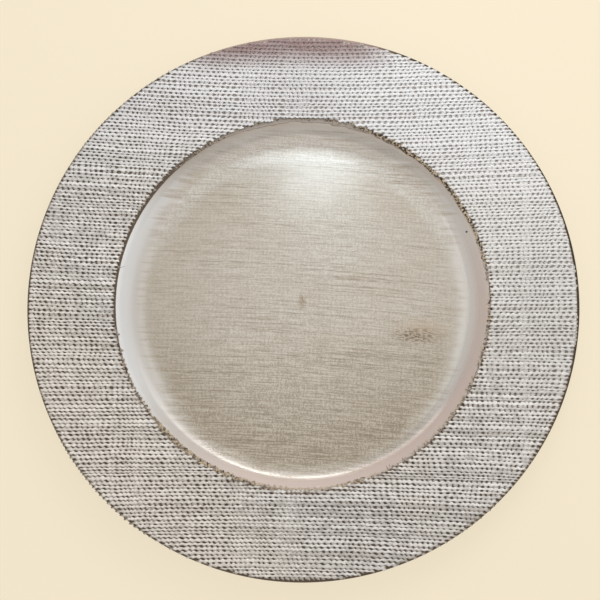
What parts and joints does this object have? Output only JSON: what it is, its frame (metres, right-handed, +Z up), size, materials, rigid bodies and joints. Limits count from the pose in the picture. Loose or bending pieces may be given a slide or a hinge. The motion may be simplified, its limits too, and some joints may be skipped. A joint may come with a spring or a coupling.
{
  "type": "charger plate",
  "caption": "Round charger plate with a flat brushed well, a swept wall and a wide, gently rising rim faced with a silvered woven band, standing on a low foot ring.",
  "frame": {"origin": "centre of the foot ring's underside, on the surface that the plate stands on", "axes": "+Z up through the middle of the well; +X along the weft yarns of the rim; +Y along the warp yarns"},
  "size_m": [0.3299, 0.33, 0.0196],
  "materials": {
    "moulded_plastic": "satin, warm grey",
    "brushed_facing": "brushed, warm silver with faint brown streaks",
    "bonding_film": "dark brown, satin",
    "silvered_yarn": "coarse plain weave, silvered on top, brown in the gaps"
  },
  "bodies": {
    "root": {"base_plate": "moulded_plastic", "well_facing": "brushed_facing", "bonding_film": "bonding_film", "warp_yarns": "silvered_yarn", "weft_yarns": "silvered_yarn"}
  },
  "joints": []
}
